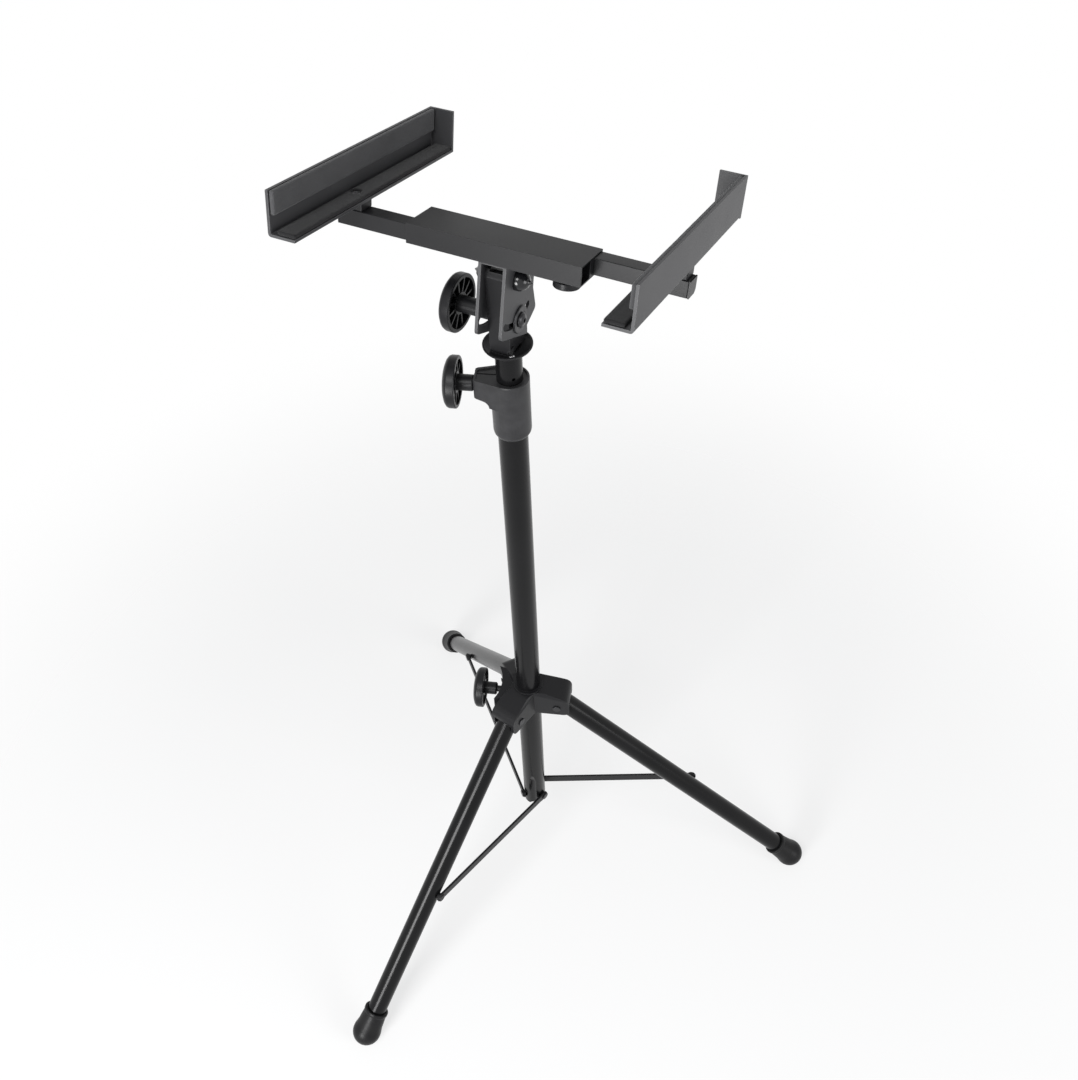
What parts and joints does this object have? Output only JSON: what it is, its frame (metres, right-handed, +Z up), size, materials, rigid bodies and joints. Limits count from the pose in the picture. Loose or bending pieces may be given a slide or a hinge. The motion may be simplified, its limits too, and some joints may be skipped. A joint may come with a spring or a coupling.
{
  "type": "tripod stand",
  "caption": "Folding tripod stand with a telescopic mast, a tilting and turning head, and a tray of two sliding angle rails lined with foam.",
  "frame": {"origin": "on the mast axis, at the level of the floor that the ball feet touch", "axes": "+Z up along the mast, +X to the right along the tray's crossbar, -Y towards the tray's front, which is tilted up"},
  "size_m": [0.6771, 0.6606, 1.1317],
  "materials": {
    "tube_black": "satin black powder coat",
    "sheet_black": "fine-textured black powder coat",
    "moulded_black": "moulded black plastic",
    "gloss_black": "glossy black plastic",
    "foot_rubber": "matt black rubber",
    "foam_grey": "dark grey foam",
    "fastener_black": "blackened steel",
    "fastener_bright": "bright zinc plate"
  },
  "bodies": {
    "mast": {"mast_tube": "tube_black", "mast_clamp": "moulded_black", "brace_pins": "fastener_black"},
    "clamp_knob": {"clamp_knob": "moulded_black"},
    "hub": {"hub": "moulded_black", "leg_pins": "fastener_black"},
    "hub_knob": {"hub_knob": "moulded_black"},
    "post": {"post_tube": "tube_black"},
    "head": {"neck": "sheet_black", "neck_screw": "fastener_bright", "pivot_bolt": "fastener_black", "pivot_cap_left": "gloss_black", "pivot_cap_right": "gloss_black", "lock_bolt": "fastener_black", "lock_washer": "fastener_black"},
    "tilt_knob": {"tilt_knob": "moulded_black"},
    "tray": {"tray_yoke": "sheet_black", "crossbar": "sheet_black"},
    "thumb_screw": {"thumb_screw": "moulded_black"},
    "rail_left": {"slide_arm_left": "sheet_black", "arm_plug_left": "moulded_black", "saddle_left": "moulded_black", "rail_left": "sheet_black", "rail_screws_left": "fastener_bright", "side_pad_left": "foam_grey", "floor_pad_left": "foam_grey"},
    "rail_right": {"slide_arm_right": "sheet_black", "arm_plug_right": "moulded_black", "saddle_right": "moulded_black", "rail_right": "sheet_black", "rail_screws_right": "fastener_bright", "side_pad_right": "foam_grey", "floor_pad_right": "foam_grey"},
    "leg_front": {"leg_front": "tube_black", "foot_front": "foot_rubber"},
    "brace_front": {"brace_front": "sheet_black"},
    "leg_right": {"leg_right": "tube_black", "foot_right": "foot_rubber"},
    "brace_right": {"brace_right": "sheet_black"},
    "leg_rear": {"leg_rear": "tube_black", "foot_rear": "foot_rubber"},
    "brace_rear": {"brace_rear": "sheet_black"}
  },
  "joints": [
    {"name": "hub_slide", "type": "slide", "parent": "mast", "child": "hub", "axis": [0, 0, 1], "range_m": [0, 0.24189]},
    {"name": "leg_fold_front", "type": "hinge", "parent": "hub", "child": "leg_front", "pos_m": [-0.00803, -0.03714, 0.37427], "axis": [0.9774, -0.2113, 0], "range_deg": [0, 40.75]},
    {"name": "leg_fold_right", "type": "hinge", "parent": "hub", "child": "leg_right", "pos_m": [0.03618, 0.01162, 0.37427], "axis": [-0.3057, 0.9521, 0], "range_deg": [0, 40.75]},
    {"name": "leg_fold_rear", "type": "hinge", "parent": "hub", "child": "leg_rear", "pos_m": [-0.02815, 0.02552, 0.37427], "axis": [-0.6717, -0.7408, 0], "range_deg": [0, 40.75]},
    {"name": "brace_fold_front", "type": "hinge", "parent": "mast", "child": "brace_front", "pos_m": [0, 0, 0.13032], "axis": [-0.9774, 0.2113, 0], "range_deg": [0, 63.53]},
    {"name": "brace_fold_right", "type": "hinge", "parent": "mast", "child": "brace_right", "pos_m": [0, 0, 0.13032], "axis": [0.3057, -0.9521, 0], "range_deg": [0, 63.53]},
    {"name": "brace_fold_rear", "type": "hinge", "parent": "mast", "child": "brace_rear", "pos_m": [0, 0, 0.13032], "axis": [0.6717, 0.7408, 0], "range_deg": [0, 63.53]},
    {"name": "height", "type": "slide", "parent": "mast", "child": "post", "axis": [0, 0, 1], "range_m": [-0.02, 0.38]},
    {"name": "swivel", "type": "hinge", "parent": "post", "child": "head", "pos_m": [0, 0, 0.94932], "axis": [0, 0, 1], "continuous": true},
    {"name": "tilt", "type": "hinge", "parent": "head", "child": "tray", "pos_m": [0, 0, 1.02282], "axis": [1, 0, 0], "range_deg": [-25.3, 40.7]},
    {"name": "slide_left", "type": "slide", "parent": "tray", "child": "rail_left", "axis": [-1, 0, 0], "range_m": [-0.037, 0.085]},
    {"name": "slide_right", "type": "slide", "parent": "tray", "child": "rail_right", "axis": [1, 0, 0], "range_m": [-0.052, 0.07]},
    {"name": "clamp_knob_turn", "type": "hinge", "parent": "mast", "child": "clamp_knob", "pos_m": [0, 0, 0.89832], "axis": [-0.9521, -0.3057, 0], "continuous": true},
    {"name": "hub_knob_turn", "type": "hinge", "parent": "hub", "child": "hub_knob", "pos_m": [0, 0, 0.38177], "axis": [-0.9521, -0.3057, 0], "continuous": true},
    {"name": "tilt_knob_turn", "type": "hinge", "parent": "head", "child": "tilt_knob", "pos_m": [0, 0, 0.98042], "axis": [-1, 0, 0], "continuous": true},
    {"name": "thumb_screw_turn", "type": "hinge", "parent": "tray", "child": "thumb_screw", "pos_m": [0.061, 0.00049, 1.04321], "axis": [0, 0.2198, 0.9755], "continuous": true}
  ],
  "couplings": [
    {"joint": "leg_fold_front", "follows": "hub_slide", "rad_per_m": 2.9367},
    {"joint": "leg_fold_right", "follows": "hub_slide", "rad_per_m": 2.9367},
    {"joint": "leg_fold_rear", "follows": "hub_slide", "rad_per_m": 2.9367},
    {"joint": "brace_fold_front", "follows": "hub_slide", "rad_per_m": 4.5803},
    {"joint": "brace_fold_right", "follows": "hub_slide", "rad_per_m": 4.5803},
    {"joint": "brace_fold_rear", "follows": "hub_slide", "rad_per_m": 4.5803}
  ]
}
